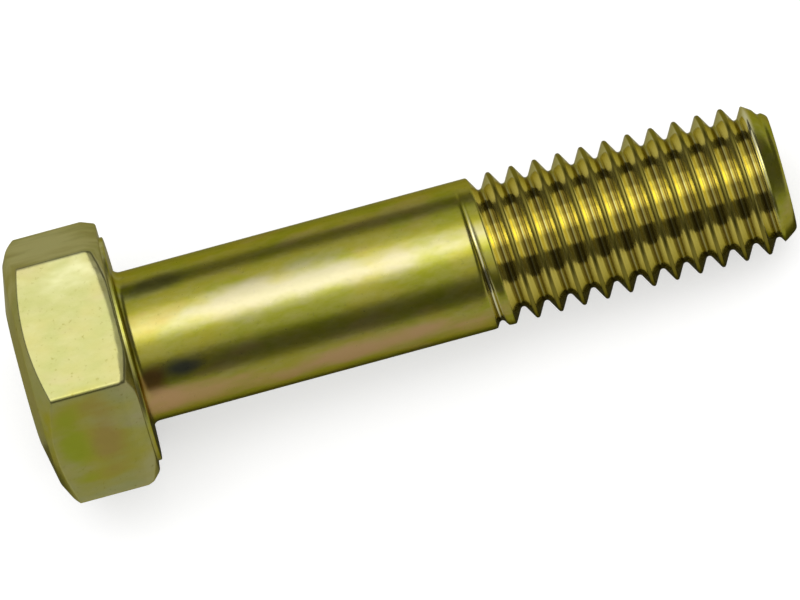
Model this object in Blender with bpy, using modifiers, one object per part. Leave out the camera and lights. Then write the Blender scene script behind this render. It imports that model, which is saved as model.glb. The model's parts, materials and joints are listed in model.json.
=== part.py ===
# A hex head bolt, M8 by 35, with a washer face and a coarse right-hand thread on part of its shank.
# It is modelled along its own axis, with the bearing face at zero, the head below and the shank above.
# Then it is laid down as it comes to rest, on one flat of its head and on the thread near its tip.

import math

import bmesh
import bpy
import numpy as np
from mathutils import Matrix

MM = 0.001

# Head
ACROSS_FLATS = 12.9 * MM
HEAD_HEIGHT = 5.85 * MM  # from the top to the bearing face, with the washer face
TOP_FLAT_RADIUS = 3.6 * MM
CROWN_ANGLE = math.radians(11)  # the slope just outside the flat on top
CHAMFER_START = 0.55 * MM  # how far inside the flats the steeper chamfer begins
CHAMFER_ANGLE = math.radians(27)
EDGE_ROUNDING = 0.12 * MM

# Underside of the head
WASHER_FACE_MARGIN = 0.45 * MM  # between the washer face's rim and the flats
WASHER_FACE_HEIGHT = 0.22 * MM
LOWER_BEVEL_HEIGHT = 0.74 * MM  # along the lower edges of the flats
LOWER_BEVEL_DEPTH = 0.26 * MM
CORNER_CUT_START = 0.1 * MM  # outside the flats, so that only the corners are cut back
CORNER_CUT_ANGLE = math.radians(29)

# Shank
SHANK_DIAMETER = 8.0 * MM
LENGTH = 35.0 * MM  # from the bearing face to the tip
UNDER_HEAD_FILLET = 0.4 * MM
TIP_FLAT_RADIUS = 3.05 * MM
TIP_CHAMFER_LENGTH = 1.4 * MM

# Thread
PITCH = 1.25 * MM
THREAD_LENGTH = 16.68 * MM  # from the start of the run-out to the tip
THREAD_ANGLE = math.radians(60)  # between the flanks
THREAD_DEPTH_PER_PITCH = 0.6134
CREST_FLAT_PER_PITCH = 0.125
THREAD_START_ANGLE = math.radians(108)  # round the axis, from the flat that the bolt rests on
RUN_OUT_TURNS = 1.0  # in which the groove climbs out to the shank's surface

# Fineness of the round surfaces
SHANK_SEGMENTS = 48
HEAD_SEGMENTS = 90
FILLET_SEGMENTS = 5
SHARP_ANGLE = math.radians(30)
ROUNDED_EDGE_ANGLE = math.radians(40)  # edges of the hexagon that turn by more are rounded
MERGE_DISTANCE = 0.01 * MM
WELD_DISTANCE = 0.0001 * MM

# How far a cutting or joined shape passes the surface that it meets
OVERLAP = 0.5 * MM
FLANK_OVERLAP = 0.04 * MM  # small, so that the groove's turns stay apart outside the crests

# Plating
PLATING_COLOUR = (0.62, 0.55, 0.17, 1.0)
PLATING_ROUGHNESS = 0.3

SHANK_RADIUS = SHANK_DIAMETER / 2
FLAT_RADIUS = ACROSS_FLATS / 2
CORNER_RADIUS = ACROSS_FLATS / math.sqrt(3)
CHAMFER_CIRCLE_RADIUS = FLAT_RADIUS - CHAMFER_START
WASHER_FACE_RADIUS = FLAT_RADIUS - WASHER_FACE_MARGIN
THREAD_DEPTH = THREAD_DEPTH_PER_PITCH * PITCH


def clear_scene():
    for old in list(bpy.data.objects):
        bpy.data.objects.remove(old, do_unlink=True)


def new_collection(name):
    collection = bpy.data.collections.new(name)
    bpy.context.scene.collection.children.link(collection)
    return collection


def plating():
    """Yellow zinc: a metal with a golden green tint."""
    material = bpy.data.materials.new("yellow_zinc")
    material.use_nodes = True
    shader = material.node_tree.nodes["Principled BSDF"]
    shader.inputs["Base Color"].default_value = PLATING_COLOUR
    shader.inputs["Metallic"].default_value = 1.0
    shader.inputs["Roughness"].default_value = PLATING_ROUGHNESS
    material.diffuse_color = PLATING_COLOUR
    return material


def profile_object(name, points, collection, closed=False):
    """An outline of (radius, height) points in the XZ plane."""
    mesh = bpy.data.meshes.new(name)
    edges = [(i, i + 1) for i in range(len(points) - 1)]
    if closed:
        edges.append((len(points) - 1, 0))
    mesh.from_pydata([(radius, 0, height) for radius, height in points], edges, [])
    thing = bpy.data.objects.new(name, mesh)
    collection.objects.link(thing)
    return thing


def turn(thing, segments, turns=1, rise=0.0):
    """Revolves the outline, and lifts it by rise in each turn."""
    screw = thing.modifiers.new("turn", "SCREW")
    screw.axis = "Z"
    screw.angle = 2 * math.pi
    screw.iterations = turns
    screw.screw_offset = rise
    screw.steps = segments
    screw.render_steps = segments
    screw.use_merge_vertices = rise == 0.0
    screw.merge_threshold = MERGE_DISTANCE


def combine(thing, other, operation):
    boolean = thing.modifiers.new(operation.lower(), "BOOLEAN")
    boolean.operation = operation
    boolean.solver = "EXACT"
    boolean.object = other


def as_guide(thing):
    thing.hide_render = True
    thing.display_type = "WIRE"
    return thing


def apply_modifiers(thing):
    evaluated = thing.evaluated_get(bpy.context.evaluated_depsgraph_get())
    mesh = bpy.data.meshes.new_from_object(evaluated)
    welded = bmesh.new()
    welded.from_mesh(mesh)
    bmesh.ops.remove_doubles(welded, verts=welded.verts, dist=WELD_DISTANCE)
    welded.to_mesh(mesh)
    welded.free()
    thing.modifiers.clear()
    thing.data = mesh


def top_height(radius):
    """The height of the crowned and chamfered top of the head at a radius outside its flat."""
    crown_end = min(radius, CHAMFER_CIRCLE_RADIUS)
    height = -HEAD_HEIGHT + (crown_end - TOP_FLAT_RADIUS) * math.tan(CROWN_ANGLE)
    return height + (radius - crown_end) * math.tan(CHAMFER_ANGLE)


def head_envelope(collection):
    """The turned form that the hexagon is cut to: crown and chamfer on top, cut corners underneath."""
    outside = CORNER_RADIUS + OVERLAP
    underside = -WASHER_FACE_HEIGHT
    cut_start = FLAT_RADIUS + CORNER_CUT_START
    rim = underside - (outside - cut_start) * math.tan(CORNER_CUT_ANGLE)
    thing = profile_object(
        "head_envelope",
        [
            (0, underside),
            (cut_start, underside),
            (outside, rim),
            (outside, top_height(outside)),
            (CHAMFER_CIRCLE_RADIUS, top_height(CHAMFER_CIRCLE_RADIUS)),
            (TOP_FLAT_RADIUS, -HEAD_HEIGHT),
            (0, -HEAD_HEIGHT),
        ],
        collection,
    )
    # Half a segment round, so that none of its edges runs along an upright edge of the hexagon
    thing.data.transform(Matrix.Rotation(math.pi / HEAD_SEGMENTS, 4, "Z"))
    turn(thing, HEAD_SEGMENTS)
    return as_guide(thing)


def hexagon(collection):
    """The head: a hexagonal prism with a bevel along the lower edges of its flats and with rounded
    edges, cut to the turned envelope."""
    lowest = -HEAD_HEIGHT - OVERLAP
    bevel_start = -WASHER_FACE_HEIGHT - LOWER_BEVEL_HEIGHT
    outline = bmesh.new()
    bmesh.ops.create_cone(
        outline,
        cap_ends=True,
        segments=6,
        radius1=CORNER_RADIUS,
        radius2=CORNER_RADIUS,
        depth=bevel_start - lowest,
        matrix=Matrix.Translation((0, 0, (bevel_start + lowest) / 2)),
    )
    rim_face = max(outline.faces, key=lambda face: face.calc_center_median().z)
    raised = bmesh.ops.extrude_discrete_faces(outline, faces=[rim_face])["faces"][0]
    inwards = 1 - LOWER_BEVEL_DEPTH / FLAT_RADIUS
    bmesh.ops.scale(outline, vec=(inwards, inwards, 1), verts=raised.verts)
    bmesh.ops.translate(outline, vec=(0, 0, LOWER_BEVEL_HEIGHT), verts=raised.verts)
    mesh = bpy.data.meshes.new("hexagon")
    outline.to_mesh(mesh)
    outline.free()
    thing = bpy.data.objects.new("hexagon", mesh)
    collection.objects.link(thing)
    rounding = thing.modifiers.new("edges", "BEVEL")
    rounding.width = EDGE_ROUNDING
    rounding.segments = 2
    rounding.angle_limit = ROUNDED_EDGE_ANGLE
    combine(thing, head_envelope(collection), "INTERSECT")
    return as_guide(thing)


def shank(collection):
    """Washer face, fillet, plain shank and chamfered tip as one turned form, rooted inside the head."""
    root = -HEAD_HEIGHT / 2
    fillet = []
    for step in range(FILLET_SEGMENTS + 1):
        angle = math.pi / 2 * step / FILLET_SEGMENTS
        radius = SHANK_RADIUS + UNDER_HEAD_FILLET * (1 - math.cos(angle))
        fillet.append((radius, UNDER_HEAD_FILLET * (1 - math.sin(angle))))
    outline = [(0, LENGTH), (TIP_FLAT_RADIUS, LENGTH), (SHANK_RADIUS, LENGTH - TIP_CHAMFER_LENGTH)]
    outline += fillet
    outline += [(WASHER_FACE_RADIUS, 0), (WASHER_FACE_RADIUS, root), (0, root)]
    thing = profile_object("hex_bolt", outline, collection)
    turn(thing, SHANK_SEGMENTS)
    return thing


def thread_groove(collection):
    """The helical groove between the threads, which runs past the tip and climbs out on the shank."""
    slope = math.tan(THREAD_ANGLE / 2)
    half_width = (1 - CREST_FLAT_PER_PITCH) * PITCH / 2
    floor = half_width - THREAD_DEPTH * slope
    mouth = half_width + FLANK_OVERLAP * slope
    root_radius = SHANK_RADIUS - THREAD_DEPTH
    mouth_radius = SHANK_RADIUS + FLANK_OVERLAP
    outside = SHANK_RADIUS + OVERLAP
    thing = profile_object(
        "thread_groove",
        [
            (root_radius, floor),
            (mouth_radius, mouth),
            (outside, mouth),
            (outside, -mouth),
            (mouth_radius, -mouth),
            (root_radius, -floor),
        ],
        collection,
        closed=True,
    )
    turn(thing, SHANK_SEGMENTS, turns=math.ceil(THREAD_LENGTH / PITCH) + 1, rise=PITCH)
    apply_modifiers(thing)
    lift_run_out(thing.data)
    close_ends(thing.data)
    start = Matrix.Translation((0, 0, LENGTH - THREAD_LENGTH))
    thing.data.transform(start @ Matrix.Rotation(THREAD_START_ANGLE, 4, "Z"))
    return as_guide(thing)


def lift_run_out(mesh):
    """Moves the groove's first turns outwards, from clear of the shank down to full depth."""
    points = np.empty(len(mesh.vertices) * 3)
    mesh.vertices.foreach_get("co", points)
    points = points.reshape(-1, 3)
    part_turn = np.arctan2(points[:, 1], points[:, 0]) / (2 * math.pi)
    turns = part_turn + np.round(points[:, 2] / PITCH - part_turn)
    lift = (THREAD_DEPTH + MERGE_DISTANCE) * np.clip(1 - turns / RUN_OUT_TURNS, 0, 1)
    radius = np.hypot(points[:, 0], points[:, 1])
    points[:, :2] *= ((radius + lift) / radius)[:, None]
    mesh.vertices.foreach_set("co", points.ravel())


def close_ends(mesh):
    solid = bmesh.new()
    solid.from_mesh(mesh)
    bmesh.ops.holes_fill(solid, edges=[edge for edge in solid.edges if edge.is_boundary])
    bmesh.ops.recalc_face_normals(solid, faces=solid.faces)
    solid.to_mesh(mesh)
    solid.free()


def centre_of_mass(mesh):
    """The volume's centre, from the cones that the faces' triangles make with the origin."""
    mesh.calc_loop_triangles()
    corners = np.array([[mesh.vertices[i].co for i in face.vertices] for face in mesh.loop_triangles])
    volumes = np.einsum("ij,ij->i", corners[:, 0], np.cross(corners[:, 1], corners[:, 2])) / 6
    return (corners.sum(axis=1) / 4 * volumes[:, None]).sum(axis=0) / volumes.sum()


def lower_hull(points):
    """The underside of the convex outline round (x, z) points, from left to right."""
    hull = []
    for point in sorted(map(tuple, points)):
        while len(hull) > 1:
            ax, az = hull[-1][0] - hull[-2][0], hull[-1][1] - hull[-2][1]
            bx, bz = point[0] - hull[-2][0], point[1] - hull[-2][1]
            if ax * bz - az * bx > 0:
                break
            hull.pop()
        hull.append(point)
    return hull


def lay_down(bolt):
    """Turns the axis level, tilts the bolt onto the line that carries its centre of mass, and
    puts the middle of its box's base at the origin."""
    level = Matrix.Rotation(math.pi / 2, 4, "Y")
    bolt.data.transform(level)
    mass = centre_of_mass(bolt.data)
    points = np.array([vertex.co for vertex in bolt.data.vertices])
    hull = lower_hull(points[:, [0, 2]])
    for (x0, z0), (x1, z1) in zip(hull, hull[1:]):
        if x0 <= mass[0] < x1:
            tilt = math.atan2(z1 - z0, x1 - x0)
    bolt.data.transform(level.inverted())
    turned = Matrix.Rotation(tilt, 4, "Y") @ level
    points = points @ np.array(Matrix.Rotation(tilt, 3, "Y")).T
    low, high = points.min(axis=0), points.max(axis=0)
    middle = (low + high) / 2
    bolt.matrix_world = Matrix.Translation((-middle[0], -middle[1], -low[2])) @ turned


def main():
    clear_scene()
    parts = new_collection("hex_head_bolt")
    guides = new_collection("guides")
    bolt = shank(parts)
    combine(bolt, hexagon(guides), "UNION")
    combine(bolt, thread_groove(guides), "DIFFERENCE")
    apply_modifiers(bolt)
    bolt.data.materials.clear()
    bolt.data.materials.append(plating())
    bolt.data.shade_smooth()
    bolt.data.set_sharp_from_angle(angle=SHARP_ANGLE)
    lay_down(bolt)


main()
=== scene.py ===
import json
import math

import bmesh
import bpy
import numpy as np
from mathutils import Matrix, Vector


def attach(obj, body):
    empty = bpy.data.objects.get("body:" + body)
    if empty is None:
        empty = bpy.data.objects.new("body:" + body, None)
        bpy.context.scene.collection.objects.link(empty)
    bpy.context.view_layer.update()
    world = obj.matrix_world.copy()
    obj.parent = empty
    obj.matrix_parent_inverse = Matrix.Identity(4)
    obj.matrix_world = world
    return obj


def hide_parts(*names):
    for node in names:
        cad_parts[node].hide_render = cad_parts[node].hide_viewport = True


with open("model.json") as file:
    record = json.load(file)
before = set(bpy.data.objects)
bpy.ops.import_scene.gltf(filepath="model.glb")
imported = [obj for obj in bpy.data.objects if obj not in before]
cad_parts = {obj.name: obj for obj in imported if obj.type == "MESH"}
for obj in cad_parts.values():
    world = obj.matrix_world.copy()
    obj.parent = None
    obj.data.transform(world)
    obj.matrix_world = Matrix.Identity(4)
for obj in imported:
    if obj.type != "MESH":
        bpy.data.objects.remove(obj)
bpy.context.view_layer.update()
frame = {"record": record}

# A yellow zinc plated hex head bolt, lying on a pale floor under two soft lamps.
# The bolt is worked out in millimetres along its own axis (bearing face at zero, head below, tip above),
# and then put where the frame has it.

millimetre = 0.001
turn = 2 * math.pi

# Lengths are in mm and angles in degrees
head = {
    "mountOut": 5.2,  # from the axis to the record's bearing mount
    "acrossFlats": 12.9,
    "height": 5.85,
    "topFlatRadius": 3.6,
    "crownAngle": 11,
    "chamferStart": 0.55,
    "chamferAngle": 27,
    "uprightRounding": 0.24,
    "topRounding": 0.12,
    "crownRounding": 0.7,
    "middleRounding": 0.8,  # where the flat middle of the top meets the crown
    "topSteps": [0, 5, 5, 8, 0],
    "washerMargin": 0.45,
    "washerHeight": 0.22,
    "washerStart": 0.12,  # how far outside the washer face the underside's rows begin
    "washerInnerRounding": 0.03,
    "washerRounding": 0.07,
    "underSteps": [0, 2, 5, 8, 0],
    "bevelHeight": 0.74,
    "bevelDepth": 0.26,
    "bevelSoftness": 0.08,
    "bevelRows": 22,
    "sideEndMargin": 0.12,  # how far above the bevel the plain side ends
    "bevelMargin": 0.1,  # and how far above it the bevel's own rows begin
    "cornerCutStart": 0.1,
    "cornerCutAngle": 29,
    "cornerCutSoftness": 0.12,
    "fullCorner": 90,  # round to the corner that the trimming left nearly square
    "fullCornerSpread": 14,
    "fullCornerGain": 0.55,
    "trimBulge": 0.36,  # how far the upper flat's trimmed edge bows towards the bearing face
    "trimWave": 0.035,
    "trimWaves": [(17, 1.0, 0), (29, 0.7, 1), (47, 0.5, 2)],  # how close, how strong, shifted by
    "rimRounding": 0.1,
    "rimRows": 6,
    "columnsPerFlat": 36,
    "cornerCrowding": 0.8,  # 0 spaces the columns evenly
}

shank = {
    "diameter": 8.0,
    "length": 35.0,
    "fillet": 0.4,
    "tipFlatRadius": 3.05,
    "tipChamfer": 1.4,
    "tipRounding": 0.18,
    "tipRoundingShare": 0.6,
    "tipSteps": 5,
    "endRings": [0.9, 0.6, 0.3, 0],  # shares of the end face's radius
}

thread = {
    "pitch": 1.25,
    "length": 16.68,
    "angle": 60,
    "depthPerPitch": 0.6134,
    "crestPerPitch": 0.125,
    "startAngle": 108,
    "runOutTurns": 1.0,
    "runOutLift": 0.06,  # how far above the shank the groove's root begins
    "crestRounding": 0.045,
    "chamferSoftness": 0.08,
    "startMargin": 0.6,  # pitches of plain shank that the thread's rows begin with
    "rowPlaces": [0, 0.045, 0.09, 0.135, 0.17, 0.3, 0.45, 0.5, 0.545, 0.585, 0.625],  # across half a pitch
}

path = {
    "largestCut": 0.48,  # of the shorter side at a corner
    "weld": 0.002,  # doubles closer than this are merged
}


def boltPlace():
    # The bolt's own axes and bearing centre, from the two mounts: both lie straight up from the axis
    mounts = {mount["name"]: mount for mount in frame["record"]["mounts"]}
    along = Vector(mounts["bearing_face"]["axis"]).normalized()
    up = Vector(mounts["wrench_flat"]["axis"]).normalized()
    across = up.cross(along)
    centre = Vector(mounts["bearing_face"]["pos_m"]) - up * head["mountOut"] * millimetre
    return centre, along, up, across


bearingCentre, alongAxis, upAxis, acrossAxis = boltPlace()
boltRotation = Matrix((-upAxis, acrossAxis, alongAxis)).transposed()
print("bolt placed at", tuple(round(c * 1000, 3) for c in bearingCentre))


def smoothLeast(first, second, size):
    # The lesser of two values, rounded where they differ by less than size:
    # least minus (size - difference) squared over four sizes
    overlap = np.clip(size - np.abs(first - second), 0, None)
    return np.minimum(first, second) - overlap**2 / (4 * size)


def smoothMost(first, second, size):
    # The greater of two values, rounded in the same way
    return -smoothLeast(-first, -second, size)


def columnAngles():
    # Angles round the axis, closest together at the hexagon's corners:
    # from each corner 30 degrees either way, times a mix of u and u cubed
    count = head["columnsPerFlat"]
    crowding = head["cornerCrowding"]
    u = np.arange(count) / count * 2 - 1
    fromCorner = math.radians(30) * ((1 - crowding) * u + crowding * u**3)
    corners = math.radians(30) + np.arange(6) * turn / 6
    angles = (corners[:, None] + fromCorner[None, :]).ravel()
    return np.append(angles, angles[0] + turn)


def hexRadius(angles, apothem, rounding):
    # The hexagon's radius at an angle: apothem over the cosine from the flat's middle,
    # and near a corner the circle of the rounding, whose centre lies on the corner's line
    fromCorner = (angles - math.radians(30) + turn / 12) % (turn / 6) - turn / 12
    fromFlat = math.radians(30) - np.abs(fromCorner)
    straight = apothem / np.cos(fromFlat)
    centre = (apothem - rounding) / math.cos(math.radians(30))
    reach = rounding**2 - (centre * np.sin(fromCorner)) ** 2
    rounded = centre * np.cos(fromCorner) + np.sqrt(np.clip(reach, 0, None))
    touches = straight * np.sin(fromFlat) > (apothem - rounding) * math.tan(math.radians(30))
    return np.where(touches, rounded, straight)


def roundedPath(corners, roundings, steps):
    # A path through corners (count, columns, 2), each corner turned into an arc of its rounding:
    # the arc starts and ends at rounding times tan(half the turn) from the corner
    rows = [corners[0]]
    for i in range(1, len(corners) - 1):
        before, here, after = corners[i - 1], corners[i], corners[i + 1]
        inward = here - before
        outward = after - here
        inLength = np.linalg.norm(inward, axis=-1, keepdims=True)
        outLength = np.linalg.norm(outward, axis=-1, keepdims=True)
        inward = inward / inLength
        outward = outward / outLength
        cosine = np.clip((inward * outward).sum(axis=-1, keepdims=True), -1, 1)
        half = np.arccos(cosine) / 2
        cut = roundings[i] * np.tan(half)
        cut = np.minimum(cut, path["largestCut"] * np.minimum(inLength, outLength))
        start = here - inward * cut
        end = here + outward * cut
        for step in np.linspace(0, 1, steps[i] + 1):
            # A circle's arc as a weighted mix of its ends and its corner
            weight = np.cos(half)
            a, b, c = (1 - step) ** 2, 2 * step * (1 - step) * weight, step**2
            rows.append((a * start + b * here + c * end) / (a + b + c))
    rows.append(corners[-1])
    return np.array(rows)


def topHeight(radius):
    # The crowned top: flat, then the crown's slope, then the chamfer's
    chamferCircle = head["acrossFlats"] / 2 - head["chamferStart"]
    crownEnd = np.minimum(radius, chamferCircle)
    height = -head["height"] + (crownEnd - head["topFlatRadius"]) * math.tan(math.radians(head["crownAngle"]))
    return height + (radius - crownEnd) * math.tan(math.radians(head["chamferAngle"]))


def level(radius, height, columns):
    # One row of points as (radius, height), all at the same height
    return np.stack([np.broadcast_to(radius, columns), np.broadcast_to(height, columns)], axis=-1)


def headTopRows(angles):
    # From the middle of the top out over crown and chamfer, and down the side to above the lower bevel
    columns = angles.shape
    apothem = head["acrossFlats"] / 2
    side = hexRadius(angles, apothem, head["uprightRounding"])
    chamferCircle = apothem - head["chamferStart"]
    sideEnd = -head["washerHeight"] - head["bevelHeight"] - head["sideEndMargin"]
    corners = np.array([
        level(0, -head["height"], columns),
        level(head["topFlatRadius"], -head["height"], columns),
        level(chamferCircle, topHeight(chamferCircle), columns),
        np.stack([side, topHeight(side)], axis=-1),
        level(side, sideEnd, columns),
    ])
    roundings = [0, head["middleRounding"], head["crownRounding"], head["topRounding"], 0]
    return roundedPath(corners, roundings, head["topSteps"])


def trimmedEdge(angles):
    # How far the bevel's edge lies below its straight line on the flat that faces up: a bow that falls
    # off to the flat's ends as one minus the square of the place across it, with a sum of small waves
    place = np.tan(angles - math.pi) / math.tan(math.radians(30))
    onUpper = (np.cos(angles - math.pi) > 0) & (np.abs(place) < 1)
    wave = sum(strength * np.sin(place * close + shift) for close, strength, shift in head["trimWaves"])
    bow = head["trimBulge"] * (1 - place**2) + head["trimWave"] * wave * (1 - place**4)
    return np.where(onUpper, bow, 0)


def headLowerRows(angles):
    # The lower bevel and the cut corners: the hexagon's radius shrinks towards the underside,
    # and the turned cut and a small round at the rim take off what is left outside them
    bevelStart = -head["washerHeight"] - head["bevelHeight"]
    rim = -head["washerHeight"]
    apothem = head["acrossFlats"] / 2
    rounding = head["rimRounding"]
    rimSteps = np.linspace(0, math.pi / 2, head["rimRows"] + 1)[1:]
    heights = np.concatenate([
        np.linspace(bevelStart - head["bevelMargin"], rim - rounding, head["bevelRows"]),
        rim - rounding * (1 - np.sin(rimSteps)),
    ])
    cutSlope = math.tan(math.radians(head["cornerCutAngle"]))
    edge = bevelStart + trimmedEdge(angles)
    fromFull = np.degrees(angles) % 360 - head["fullCorner"]
    gain = head["fullCornerGain"] * np.exp(-((fromFull / head["fullCornerSpread"]) ** 2))
    bevelSlope = head["bevelDepth"] / head["bevelHeight"]
    rows = []
    for height in heights:
        shrink = bevelSlope * smoothMost(height - edge, np.zeros_like(edge), head["bevelSoftness"])
        bevelled = hexRadius(angles, apothem - shrink, head["uprightRounding"])
        cut = apothem + head["cornerCutStart"] + gain + (rim - height) / cutSlope
        radius = smoothLeast(bevelled, cut, head["cornerCutSoftness"])
        above = max(0.0, height - (rim - rounding))
        radius = radius - (rounding - math.sqrt(rounding**2 - above**2))
        rows.append(level(radius, height, angles.shape))
    return np.array(rows)


def underHeadRows(angles, threadFrom):
    # Underside, washer face and the fillet up to the shank, then the plain shank
    columns = angles.shape
    washer = head["acrossFlats"] / 2 - head["washerMargin"]
    radius = shank["diameter"] / 2
    corners = np.array([
        level(washer + head["washerStart"], -head["washerHeight"], columns),
        level(washer, -head["washerHeight"], columns),
        level(washer, 0, columns),
        level(radius, 0, columns),
        level(radius, threadFrom, columns),
    ])
    roundings = [0, head["washerInnerRounding"], head["washerRounding"], shank["fillet"], 0]
    return roundedPath(corners, roundings, head["underSteps"])


def threadRadius(angles, heights):
    # The thread's radius: the shank's, less a V groove whose root is an arc that touches both flanks.
    # The groove's middle line climbs one pitch in each turn, and over its first turn the groove is lifted
    # out of the shank by an amount that falls evenly to nothing.
    pitch = thread["pitch"]
    radius = shank["diameter"] / 2
    depth = thread["depthPerPitch"] * pitch
    half = math.radians(thread["angle"] / 2)
    sharpDepth = (1 - thread["crestPerPitch"]) * pitch / 2 / math.tan(half)
    arc = (sharpDepth - depth) / (1 / math.sin(half) - 1)
    start = shank["length"] - thread["length"]
    partTurn = (angles - math.radians(thread["startAngle"])) / turn
    turns = partTurn + np.round((heights - start) / pitch - partTurn)
    fromMiddle = np.abs(heights - start - pitch * turns)
    lift = (depth + thread["runOutLift"]) * np.clip(1 - turns / thread["runOutTurns"], 0, 1)
    flank = fromMiddle / math.tan(half)
    root = arc / math.sin(half) - np.sqrt(np.clip(arc**2 - fromMiddle**2, 0, None))
    groove = np.where(fromMiddle < arc * math.cos(half), root, flank) + radius - sharpDepth + lift
    groove = np.where(turns < 0, radius + 1, groove)  # no groove before the start
    return smoothLeast(groove, np.full_like(groove, radius), thread["crestRounding"] * 2)


def tipRadius(heights):
    # The tip's chamfer, with a round where it meets the end face
    fromEnd = shank["length"] - heights
    wide = shank["diameter"] / 2 - shank["tipFlatRadius"]
    cone = shank["tipFlatRadius"] + fromEnd * wide / shank["tipChamfer"]
    rounding = shank["tipRounding"]
    above = np.clip(rounding - fromEnd, 0, rounding)
    return cone - (rounding - np.sqrt(rounding**2 - above**2)) * shank["tipRoundingShare"]


def chamferedThread(angles, heights):
    # The thread where it is inside the tip's chamfer, and the chamfer elsewhere
    groove = threadRadius(angles[None, :], heights)
    return smoothLeast(groove, tipRadius(heights), thread["chamferSoftness"])


def threadRows(angles, threadFrom):
    # Rows that climb with the thread, held between the plain shank and the end of the chamfer
    pitch = thread["pitch"]
    places = np.array(thread["rowPlaces"])
    offsets = np.concatenate([-places[-2:0:-1], places])
    start = shank["length"] - thread["length"]
    turnsBack = math.ceil((start - threadFrom) / pitch) + 2
    turnsOn = math.ceil(thread["length"] / pitch) + 1
    whole = np.arange(-turnsBack, turnsOn + 1)
    places = (whole[:, None] * pitch + offsets[None, :]).ravel()
    partTurn = (angles - math.radians(thread["startAngle"])) / turn
    heights = start + places[:, None] + pitch * partTurn[None, :]
    heights = np.clip(heights, threadFrom, shank["length"] - shank["tipRounding"])
    return np.stack([chamferedThread(angles, heights), heights], axis=-1)


def tipRows(angles):
    # The round at the end and the end face
    steps = np.linspace(0, math.pi / 2, shank["tipSteps"] + 1)[1:]
    heights = shank["length"] - shank["tipRounding"] * (1 - np.sin(steps))
    heights = np.repeat(heights[:, None], len(angles), axis=1)
    radius = chamferedThread(angles, heights)
    edge = np.stack([radius, heights], axis=-1)
    face = [np.stack([radius[-1] * share, heights[-1]], axis=-1) for share in shank["endRings"]]
    return np.concatenate([edge, np.array(face)])


def gridMesh(name, angles, rows):
    # Each row's (radius, height) at each angle becomes a point: radius round the axis, height along it
    radius, height = rows[..., 0], rows[..., 1]
    points = np.stack([radius * np.cos(angles), radius * np.sin(angles), height], axis=-1)
    rowCount, columnCount = radius.shape
    first = np.arange(rowCount - 1)[:, None] * columnCount + np.arange(columnCount - 1)[None, :]
    quads = np.stack([first, first + columnCount, first + columnCount + 1, first + 1], axis=-1)
    mesh = bpy.data.meshes.new(name)
    placed = points.reshape(-1, 3) * millimetre @ np.array(boltRotation).T + np.array(bearingCentre)
    mesh.from_pydata(placed.tolist(), [], quads.reshape(-1, 4).tolist())
    return mesh


def closedObject(name, mesh):
    # Doubles are merged first, and then the faces are turned outwards
    shape = bmesh.new()
    shape.from_mesh(mesh)
    bmesh.ops.remove_doubles(shape, verts=shape.verts, dist=path["weld"] * millimetre)
    bmesh.ops.recalc_face_normals(shape, faces=shape.faces)
    openEdges = sum(len(edge.link_faces) != 2 for edge in shape.edges)
    print(name, "volume mm3", round(shape.calc_volume() * 1e9, 1), "open edges", openEdges)
    shape.to_mesh(mesh)
    shape.free()
    mesh.shade_smooth()
    made = bpy.data.objects.new(name, mesh)
    bpy.context.scene.collection.objects.link(made)
    mesh.calc_loop_triangles()
    print(name, "triangles", len(mesh.loop_triangles))
    return made


def makeBolt():
    # One grid from the middle of the head's top, down its side and along the shank, to the tip's middle
    angles = columnAngles()
    threadFrom = shank["length"] - thread["length"] - thread["startMargin"] * thread["pitch"]
    rows = np.concatenate([
        headTopRows(angles),
        headLowerRows(angles),
        underHeadRows(angles, threadFrom),
        threadRows(angles, threadFrom),
        tipRows(angles),
    ])
    return closedObject("plated_bolt", gridMesh("plated_bolt", angles, rows))


# Shader maths: a Wire is a socket's value, and an expression on Wires adds Math nodes
class Wire:
    def __init__(self, finish, socket):
        self.finish = finish
        self.socket = socket

    def maths(self, operation, first, second):
        return self.finish.node("ShaderNodeMath", {"operation": operation}, {0: first, 1: second})

    def __add__(self, other):
        return self.maths("ADD", self, other)

    def __radd__(self, other):
        return self.maths("ADD", other, self)

    def __sub__(self, other):
        return self.maths("SUBTRACT", self, other)

    def __rsub__(self, other):
        return self.maths("SUBTRACT", other, self)

    def __mul__(self, other):
        return self.maths("MULTIPLY", self, other)

    def __rmul__(self, other):
        return self.maths("MULTIPLY", other, self)

    def __pow__(self, other):
        return self.maths("POWER", self, other)


class Finish:
    # The node tree of a new material or world
    def __init__(self, owner, outputKind="ShaderNodeOutputMaterial"):
        self.owner = owner
        owner.use_nodes = True
        self.tree = owner.node_tree
        self.tree.nodes.clear()
        self.output = self.tree.nodes.new(outputKind)

    def node(self, kind, settings=None, sockets=None, output=0):
        # Any node: its settings first, then the values or links of its sockets
        made = self.tree.nodes.new(kind)
        for key, value in (settings or {}).items():
            setattr(made, key, value)
        for key, value in (sockets or {}).items():
            self.feed(made.inputs[key], value)
        return Wire(self, made.outputs[output])

    def feed(self, socket, value):
        if isinstance(value, Wire):
            self.tree.links.new(value.socket, socket)
        else:
            socket.default_value = value

    def mix(self, share, first, second):
        # Colours are mixed, because Math would turn them grey; 6, 7 and 2 are the colour sockets
        return self.node("ShaderNodeMix", {"data_type": "RGBA"}, {"Factor": share, 6: first, 7: second}, 2)

    def between(self, value, low, high):
        # 0 below low, 1 above high, and a smooth step from one to the other
        return self.node(
            "ShaderNodeMapRange",
            {"interpolation_type": "SMOOTHSTEP"},
            {"Value": value, "From Min": low, "From Max": high, "To Min": 0.0, "To Max": 1.0},
        )

    def noise(self, place, grain, detail, roughness):
        # Noise whose patches are about grain millimetres wide
        return self.node(
            "ShaderNodeTexNoise",
            {},
            {"Vector": place, "Scale": 1 / (grain * millimetre), "Detail": detail, "Roughness": roughness},
        )


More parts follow.
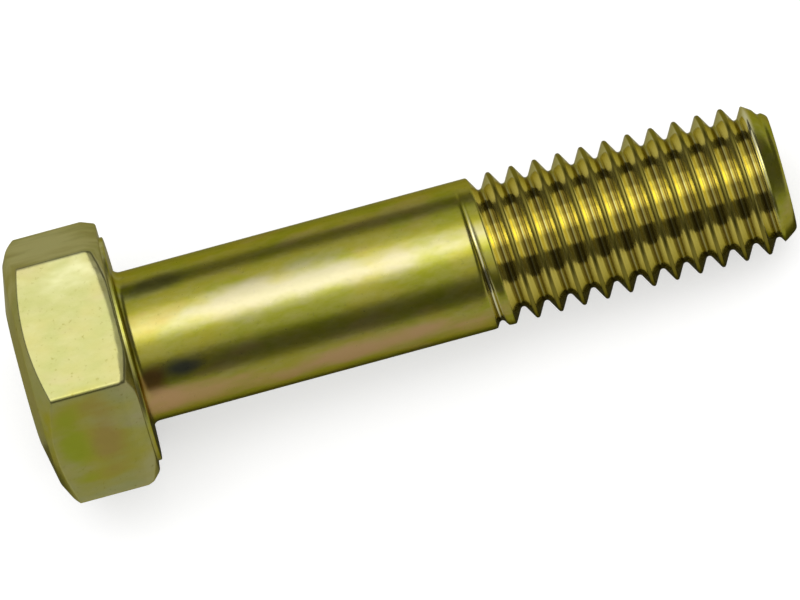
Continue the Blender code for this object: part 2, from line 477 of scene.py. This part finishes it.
plating = {
    "gold": (0.53, 0.48, 0.05, 1),
    "green": (0.44, 0.45, 0.03, 1),
    "greenFrom": (0.4, 0.62),  # the noise at which it begins and at which it is full
    "pink": (0.58, 0.44, 0.15, 1),
    "pinkFrom": (0.56, 0.72),
    "pinkShare": 0.6,
    "pale": (0.60, 0.56, 0.17, 1),
    "paleFrom": (0.3, 0.8),
    "paleShare": 0.5,
    "headPale": (0.60, 0.59, 0.40, 1),
    "headPaleShare": 0.42,
    "headEnd": -0.3,  # along the axis: the head's own tone has faded out at the bearing face
    "speck": (0.34, 0.31, 0.06, 1),
    "speckFrom": (0.6, 0.76),
    "speckShare": 0.6,
    "edgeTint": (0.6, 0.55, 0.2, 1),
    "patches": (2.6, 3, 0.5),  # each noise's grain, detail and roughness
    "streaks": (1.56, 3, 0.5),
    "speckles": (0.5, 3, 0.6),
    "fine": (0.22, 3, 0.6),
    "bumps": (0.5, 4, 0.55),
    "waves": (1.4, 2, 0.5),
    "streakStretch": 2.2,  # how much longer the streaks are along the axis
    "roughness": 0.3,
    "roughnessSpread": 0.12,
    "headRougher": 0.01,
    "bumpShare": 0.35,
    "waveShare": 0.65,
    "bumpStrength": 0.35,
    "bumpDepth": 0.05,
    "coatWeight": 0.1,
    "coatRoughness": 0.22,
    "coatIor": 1.5,
}

threadColour = {
    "paintedLitFlank": (1.0, 0.95, 0.55, 1),  # the flanks that face the head: painted light
    "paintedShadedFlank": (0.96, 0.86, 0.34, 1),  # those that face the tip: less painted light, as painted shade
    "crestBrown": (0.28, 0.23, 0.04, 1),
    "crestShare": 0.9,
    # The roots' painted light and painted shade
    "paintedLitRoot": (0.40, 0.36, 0.10, 1),
    "paintedShadedRoot": (0.18, 0.13, 0.02, 1),
    "rootShare": 0.9,
    "smoother": 0.17,
    "flatter": 0.8,
    "fadeIn": (0.0, 0.5),  # past the thread's start
    "crestFrom": (1.3, 1.7),  # past the thread's start, so that the run-out's crest stays plain
    "fadeOut": (0.0, 0.3),  # past most of the plain thread, on the tip's chamfer
    "chamferShare": 0.8,
    "crestBelow": (-0.1, -0.03),  # from the crest's radius
    "rootAbove": (0.02, 0.07),  # from the root's radius
    "tipSideFrom": (0.42, 0.54),  # in pitches across the thread
    "rootLineFrom": (0.8, 0.95),
}


# Where the film is thicker or thinner, and where light and shade are painted: place along from the bearing
# face and out from the axis, degrees round, half its length and width, colour and share
stainsAndPaintedLight = {
    # Painted shade by the head: the shank's dark bands are drawn darker next to it, and the third mark also
    # has a brown tint
    "bluish painted shade by the head": (2.4, 4, 222, 1.1, 0.55, (0.10, 0.12, 0.16, 1), 0.75),
    "dark green painted shade by the head": (2.0, 4, 152, 1.6, 0.7, (0.14, 0.14, 0.06, 1), 0.6),
    "brown by the head": (0.6, 4, 226, 0.9, 0.8, (0.34, 0.14, 0.05, 1), 0.75),
    "orange by the head": (0.9, 4, 246, 1.5, 0.8, (0.88, 0.50, 0.26, 1), 0.7),
    # Painted highlight: cream drawn along the shank's top, where the lamps are mirrored
    "painted highlight along the top": (7.5, 4, 184, 11, 0.9, (0.66, 0.59, 0.42, 1), 0.75),
    "low brown by the head": (2.5, 4, 250, 4.5, 1.1, (0.72, 0.45, 0.20, 1), 0.8),
    "low brown by the thread": (13.0, 4, 250, 5.5, 1.1, (0.72, 0.45, 0.22, 1), 0.9),
    # Painted shade on the head's near side and painted light on its far side
    "painted shade on the head's near side": (-3.0, 6.45, 240, 3.0, 3.4, (0.54, 0.49, 0.02, 1), 0.75),
    "painted light on the head's far side": (-3.2, 6.45, 120, 3.6, 4.2, (0.92, 0.90, 0.55, 1), 0.85),
    "green on the head": (-4.1, 6.45, 240, 0.9, 2.0, (0.40, 0.52, 0.02, 1), 0.6),
    "brown on the head": (-2.3, 6.45, 236, 0.9, 2.2, (0.52, 0.34, 0.12, 1), 0.6),
}
markEdge = {
    "ragged": 2.4,  # how much the streaks move a mark's edge
    "from": (0.2, 1.3),  # in half sizes from its middle
}


def boltCoordinates(finish):
    # Object coordinates turned so that z runs along the bolt from its bearing face
    place = finish.node("ShaderNodeTexCoord", output="Object")
    return finish.node(
        "ShaderNodeMapping",
        {"vector_type": "TEXTURE"},
        {"Vector": place, "Location": bearingCentre, "Rotation": boltRotation.to_euler()},
    )


def stainedAndPaintedLight(finish, place, streaks, colour):
    # Each stain, painted shade or painted light is a soft oval: its distance in half sizes from its middle,
    # made ragged by the streaks
    for along, out, degrees, length, width, markColour, share in stainsAndPaintedLight.values():
        angle = math.radians(degrees)
        middle = Vector((out * math.cos(angle), out * math.sin(angle), along)) * millimetre
        size = Vector((width, width, length)) * millimetre
        away = finish.node("ShaderNodeVectorMath", {"operation": "SUBTRACT"}, {0: place, 1: middle})
        away = finish.node("ShaderNodeVectorMath", {"operation": "DIVIDE"}, {0: away, 1: size})
        away = finish.node("ShaderNodeVectorMath", {"operation": "LENGTH"}, {0: away}, "Value")
        ragged = away + (streaks - 0.5) * markEdge["ragged"]
        near = 1 - finish.between(ragged, *markEdge["from"])
        colour = finish.mix(near * share, colour, markColour)
    return colour


def threadStainedAndPaintedLight(finish, x, y, z, colour):
    # The thread's flanks are painted light, lighter where they face the head and darker, as painted shade,
    # where they face the tip; its crests are brown, and its roots are painted light on the head's side and
    # painted shade on the far side.
    # Gives the new colour, and a mask that is 1 in the thread and one that is 1 below its crests.
    fromAxis = (x * x + y * y) ** 0.5
    start = shank["length"] - thread["length"]
    end = shank["length"] - shank["tipChamfer"] * threadColour["chamferShare"]
    crest = shank["diameter"] / 2
    root = crest - thread["depthPerPitch"] * thread["pitch"]

    def past(value, place, limits):
        return finish.between(value, (place + limits[0]) * millimetre, (place + limits[1]) * millimetre)

    inThread = past(z, start, threadColour["fadeIn"]) * (1 - past(z, end, threadColour["fadeOut"]))
    below = 1 - past(fromAxis, crest, threadColour["crestBelow"])
    # The place across the thread, in pitches: 0 and 1 in the groove's middle, a half on the crest
    roundAngle = finish.node("ShaderNodeMath", {"operation": "ARCTAN2"}, {0: y, 1: x})
    climbed = (z - start * millimetre) * (1 / (thread["pitch"] * millimetre))
    climbed = climbed - (roundAngle - math.radians(thread["startAngle"])) * (1 / turn)
    across = finish.node("ShaderNodeMath", {"operation": "FRACT"}, {0: climbed})
    # Painted light on the flanks that face the head and painted shade on those that face the tip, with a
    # painted shade line along each root
    facingTip = finish.between(across, *threadColour["tipSideFrom"])
    flank = finish.mix(facingTip, threadColour["paintedLitFlank"], threadColour["paintedShadedFlank"])
    rootLine = finish.between(across, *threadColour["rootLineFrom"])
    flank = finish.mix(rootLine, flank, threadColour["paintedShadedRoot"])
    colour = finish.mix(below * inThread, colour, flank)
    onCrest = (1 - below) * inThread * past(z, start, threadColour["crestFrom"])
    colour = finish.mix(onCrest * threadColour["crestShare"], colour, threadColour["crestBrown"])
    # Each root: painted light on its side towards the head, painted shade on its side towards the tip
    inRoot = (1 - past(fromAxis, root, threadColour["rootAbove"])) * inThread
    rootColour = finish.mix(facingTip, threadColour["paintedLitRoot"], threadColour["paintedShadedRoot"])
    colour = finish.mix(inRoot * threadColour["rootShare"], colour, rootColour)
    return colour, inThread, below


def yellowZinc():
    finish = Finish(bpy.data.materials.new("yellow_zinc_plating"))
    place = boltCoordinates(finish)
    parts = finish.node("ShaderNodeSeparateXYZ", {}, {"Vector": place}).socket.node.outputs
    x, y, z = (Wire(finish, part) for part in parts)
    streaky = finish.node(
        "ShaderNodeVectorMath",
        {"operation": "MULTIPLY"},
        {0: place, 1: (1, 1, 1 / plating["streakStretch"])},
    )
    patches = finish.noise(place, *plating["patches"])
    streaks = finish.noise(streaky, *plating["streaks"])
    speckles = finish.noise(streaky, *plating["speckles"])
    fine = finish.noise(place, *plating["fine"])
    colour = finish.mix(finish.between(patches, *plating["greenFrom"]), plating["gold"], plating["green"])
    pinkMask = finish.between(streaks, *plating["pinkFrom"])
    colour = finish.mix(pinkMask * plating["pinkShare"], colour, plating["pink"])
    paleMask = finish.between(speckles, *plating["paleFrom"])
    colour = finish.mix(paleMask * plating["paleShare"], colour, plating["pale"])
    inHead = 1 - finish.between(z, plating["headEnd"] * millimetre, 0.0)
    colour = finish.mix(inHead * plating["headPaleShare"], colour, plating["headPale"])
    speckMask = finish.between(fine, *plating["speckFrom"])
    colour = finish.mix(speckMask * plating["speckShare"], colour, plating["speck"])
    colour = stainedAndPaintedLight(finish, place, streaks, colour)
    colour, inThread, below = threadStainedAndPaintedLight(finish, x, y, z, colour)
    roughness = plating["roughness"] + (fine - 0.5) * plating["roughnessSpread"]
    roughness = roughness - inThread * below * threadColour["smoother"] + inHead * plating["headRougher"]
    bumps = finish.noise(place, *plating["bumps"])
    waves = finish.noise(streaky, *plating["waves"])
    height = bumps * plating["bumpShare"] + waves * plating["waveShare"]
    height = height * (1 - inThread * threadColour["flatter"])
    bumpSize = {"Strength": plating["bumpStrength"], "Distance": plating["bumpDepth"] * millimetre}
    normal = finish.node("ShaderNodeBump", {}, {**bumpSize, "Height": height})
    surface = finish.node(
        "ShaderNodeBsdfPrincipled",
        {},
        {
            "Base Color": colour,
            "Metallic": 1.0,
            "Roughness": roughness,
            "Specular Tint": plating["edgeTint"],
            "Coat Weight": plating["coatWeight"],
            "Coat Roughness": plating["coatRoughness"],
            "Coat IOR": plating["coatIor"],
            "Normal": normal,
        },
    )
    finish.feed(finish.output.inputs["Surface"], surface)
    return finish.owner


# The studio's lengths are in metres, where no note says mm
studio = {
    "viewTilt": 17.6,  # degrees from straight above, towards the near side
    "roll": 15.18,  # the bolt rises by this much towards the right of the picture
    "lookAlong": 14.09,  # mm from the bearing centre to the picture's middle
    "lookUp": -1.231,  # mm
    "distance": 0.6,
    "sensor": 36,  # mm
    "pictureWidth": 41.6,  # mm of the bolt's plane across the picture
    "clipStart": 0.01,
    "floorSize": 6.0,
    "floorColour": (0.62, 0.62, 0.62, 1),
    "floorGlow": 0.5,
    "lampDistance": 0.8,
    "lamps": {  # leans are degrees from straight above to the far side; brightness 1 is a white sheet's
        "wideLamp": {"farLean": 9, "width": 0.65, "length": 1.0, "brightness": 0.74},
        "narrowLamp": {"farLean": 3, "width": 0.26, "length": 1.0, "brightness": 0.68},
    },
    "worldLevel": 0.9,
    "panelDistance": 0.6,
    "panelWidth": 2.4,
    "panelShade": 0.06,
    "panelTops": {"near": 44, "far": 27, "tip": 52, "head": 30},  # degrees above the floor
    "panelTurns": {"near": -90, "far": 90, "tip": 0, "head": 180},
    "ceilingHeight": 0.95,
    "ceilingSize": 4.5,
    "ceilingShade": 0.55,
    "cardColour": (0.4, 0.4, 0.4, 1),
    "cardSize": 1.15,
    "cardHeight": 0.00002,
    # The strip's shade: a painted shadow on the floor beside the bolt, seen only in the metal
    "paintedShadowShade": 0.04,
    "stripLength": 0.05,
    "stripNear": -0.0056,  # the painted shadow strip's two edges on the near side
    "stripFar": -0.002,
}


def placeCamera():
    # The camera looks down on the bolt's middle, turned so that the bolt rises to the right
    tilt = math.radians(studio["viewTilt"])
    roll = math.radians(studio["roll"])
    towards = upAxis * math.cos(tilt) - acrossAxis * math.sin(tilt)
    squareUp = upAxis * math.sin(tilt) + acrossAxis * math.cos(tilt)
    right = alongAxis * math.cos(roll) - squareUp * math.sin(roll)
    up = alongAxis * math.sin(roll) + squareUp * math.cos(roll)
    middle = bearingCentre + (alongAxis * studio["lookAlong"] + squareUp * studio["lookUp"]) * millimetre
    data = bpy.data.cameras.new("camera")
    data.sensor_width = studio["sensor"]
    data.lens = studio["sensor"] * studio["distance"] / (studio["pictureWidth"] * millimetre)
    data.clip_start = studio["clipStart"]
    camera = bpy.data.objects.new("camera", data)
    turned = Matrix((right, up, towards)).transposed().to_4x4()
    camera.matrix_world = Matrix.Translation(middle + towards * studio["distance"]) @ turned
    bpy.context.scene.collection.objects.link(camera)
    bpy.context.scene.camera = camera


def plainSheet(name, width, length, material):
    # A flat rectangle round the origin, facing up
    mesh = bpy.data.meshes.new(name)
    x, y = width / 2, length / 2
    mesh.from_pydata([(-x, -y, 0), (x, -y, 0), (x, y, 0), (-x, y, 0)], [], [(0, 1, 2, 3)])
    mesh.materials.append(material)
    made = bpy.data.objects.new(name, mesh)
    bpy.context.scene.collection.objects.link(made)
    return made


def seenAsWhite(finish):
    # 1 for the camera and for what metal and glass reflect or let through
    rays = finish.node("ShaderNodeLightPath").socket.node.outputs
    seen = Wire(finish, rays["Is Camera Ray"]) + Wire(finish, rays["Is Glossy Ray"])
    seen = seen + Wire(finish, rays["Is Transmission Ray"])
    return finish.between(seen, 0, 1)


def paleFloor():
    finish = Finish(bpy.data.materials.new("pale_floor"))
    plain = finish.node("ShaderNodeBsdfDiffuse", {}, {"Color": studio["floorColour"]})
    glow = finish.node("ShaderNodeEmission", {}, {"Strength": seenAsWhite(finish) * studio["floorGlow"]})
    both = finish.node("ShaderNodeAddShader", {}, {0: plain, 1: glow})
    finish.feed(finish.output.inputs["Surface"], both)
    floor = plainSheet("floor", studio["floorSize"], studio["floorSize"], finish.owner)


def seenInMetal(sheet):
    # Only what the metal mirrors is changed by this sheet: it throws no shadow and no light
    sheet.visible_camera = False
    sheet.visible_diffuse = False
    sheet.visible_shadow = False


def evenShade(name, strength):
    finish = Finish(bpy.data.materials.new(name))
    shade = finish.node("ShaderNodeEmission", {}, {"Color": (1, 1, 1, 1), "Strength": strength})
    finish.feed(finish.output.inputs["Surface"], shade)
    finish.owner.cycles.emission_sampling = "NONE"
    return finish.owner


def reflectionCards():
    # Dark panels round the bolt, a grey ceiling over the lamps, a grey card, and a dark strip on the floor
    # that is painted shadow
    dark = evenShade("dark_panel", studio["panelShade"])
    distance = studio["panelDistance"]
    for name, top in studio["panelTops"].items():
        tall = distance * math.tan(math.radians(top))
        panel = plainSheet(name + "_panel", studio["panelWidth"], tall, dark)
        turned = Matrix.Rotation(math.radians(studio["panelTurns"][name]), 4, "Z")
        turned = turned @ Matrix.Translation((distance, 0, tall / 2))
        turned = turned @ Matrix.Rotation(math.pi / 2, 4, "Y") @ Matrix.Rotation(math.pi / 2, 4, "Z")
        panel.data.transform(turned)
        seenInMetal(panel)
    size = studio["ceilingSize"]
    ceiling = plainSheet("ceiling", size, size, evenShade("grey_ceiling", studio["ceilingShade"]))
    ceiling.data.transform(Matrix.Translation((0, 0, studio["ceilingHeight"])))
    seenInMetal(ceiling)
    finish = Finish(bpy.data.materials.new("grey_card"))
    plain = finish.node("ShaderNodeBsdfDiffuse", {}, {"Color": studio["cardColour"]})
    finish.feed(finish.output.inputs["Surface"], plain)
    size = studio["cardSize"]
    card = plainSheet("card", size, size, finish.owner)
    card.data.transform(Matrix.Translation((0, 0, studio["cardHeight"])))
    seenInMetal(card)
    # Painted shadow: a dark unlit strip on the floor along the bolt's near side, seen only in the metal
    near, far = studio["stripNear"], studio["stripFar"]
    shade = evenShade("painted_shadow_strip", studio["paintedShadowShade"])
    strip = plainSheet("strip", studio["stripLength"], far - near, shade)
    strip.data.transform(Matrix.Translation((0, (near + far) / 2, studio["cardHeight"] * 2)))
    seenInMetal(strip)


def softLamp(name, lamp):
    # A lamp over the bolt, long along its axis: its power is pi times its brightness and area
    data = bpy.data.lights.new(name, "AREA")
    data.shape = "RECTANGLE"
    data.size = lamp["length"]
    data.size_y = lamp["width"]
    data.energy = math.pi * lamp["brightness"] * lamp["length"] * lamp["width"]
    towards = (upAxis + acrossAxis * math.tan(math.radians(lamp["farLean"]))).normalized()
    side = towards.cross(alongAxis).normalized()
    turned = Matrix((side.cross(towards), side, towards)).transposed().to_4x4()
    made = bpy.data.objects.new(name, data)
    made.matrix_world = Matrix.Translation(towards * studio["lampDistance"]) @ turned
    made.visible_camera = False
    bpy.context.scene.collection.objects.link(made)


def paleWorld():
    # White where it is seen, and a little less as light
    finish = Finish(bpy.data.worlds.new("pale_world"), "ShaderNodeOutputWorld")
    level = studio["worldLevel"]
    strength = level + seenAsWhite(finish) * (1 - level)
    sky = finish.node("ShaderNodeBackground", {}, {"Color": (1, 1, 1, 1), "Strength": strength})
    finish.feed(finish.output.inputs["Surface"], sky)
    bpy.context.scene.world = finish.owner


placeCamera()
bolt = makeBolt()
bolt.data.materials.append(yellowZinc())
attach(bolt, "root")
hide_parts("hex_bolt")
print("bolt dressed")
paleFloor()
reflectionCards()
for lampName, lampSettings in studio["lamps"].items():
    softLamp(lampName, lampSettings)
paleWorld()
bpy.context.scene.view_settings.view_transform = "Standard"
print("studio set")
